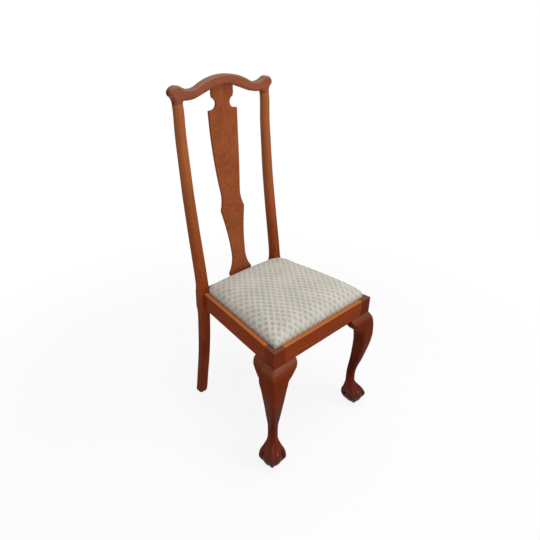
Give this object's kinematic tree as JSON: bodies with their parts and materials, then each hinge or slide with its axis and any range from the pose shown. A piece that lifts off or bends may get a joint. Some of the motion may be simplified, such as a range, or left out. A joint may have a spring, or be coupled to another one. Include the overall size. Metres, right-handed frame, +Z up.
{
  "type": "side chair",
  "caption": "High-back side chair with serpentine crest rail, vase-shaped splat, cabriole front legs on ball-and-claw feet and a loose drop-in seat.",
  "frame": {"origin": "on the floor under the middle of the part's box", "axes": "+Z up, -Y the way the sitter faces, +X to the sitter's left; right and left in names are the sitter's"},
  "size_m": [0.492, 0.5234, 1.1277],
  "materials": {
    "polished_wood": "polished red-brown hardwood with fine grain",
    "plain_wood": "plain sawn hardwood, unfinished",
    "screw_steel": "plain steel",
    "tack_steel": "blued steel",
    "webbing": "woven jute",
    "hessian": "coarse plain weave",
    "stuffing": "felted stuffing",
    "seat_fabric": "woven cream cloth with a small lozenge pattern",
    "dust_fabric": "thin plain cloth"
  },
  "bodies": {
    "chair_frame": {"crest_rail": "polished_wood", "left_back_post": "polished_wood", "right_back_post": "polished_wood", "back_splat": "polished_wood", "splat_shoe": "polished_wood", "back_seat_rail": "polished_wood", "front_seat_rail": "polished_wood", "left_side_rail": "polished_wood", "right_side_rail": "polished_wood", "left_front_leg": "polished_wood", "right_front_leg": "polished_wood", "left_front_knee_bracket": "polished_wood", "right_front_knee_bracket": "polished_wood", "left_side_knee_bracket": "polished_wood", "right_side_knee_bracket": "polished_wood", "left_front_corner_block": "plain_wood", "right_front_corner_block": "plain_wood", "left_rear_corner_block": "plain_wood", "right_rear_corner_block": "plain_wood", "back_seat_batten": "plain_wood", "crest_dowels": "plain_wood", "corner_block_screws": "screw_steel", "batten_screws": "screw_steel"},
    "drop_in_seat": {"seat_frame_front": "plain_wood", "seat_frame_back": "plain_wood", "seat_frame_left": "plain_wood", "seat_frame_right": "plain_wood", "seat_webbing_lengthwise": "webbing", "seat_webbing_crosswise": "webbing", "seat_hessian": "hessian", "seat_pad": "stuffing", "seat_cover": "seat_fabric", "cover_tacks": "tack_steel", "dust_cloth": "dust_fabric"}
  },
  "joints": [
    {"name": "seat_lift", "type": "slide", "parent": "chair_frame", "child": "drop_in_seat", "axis": [0, 0, 1], "range_m": [0, 0.15]}
  ]
}
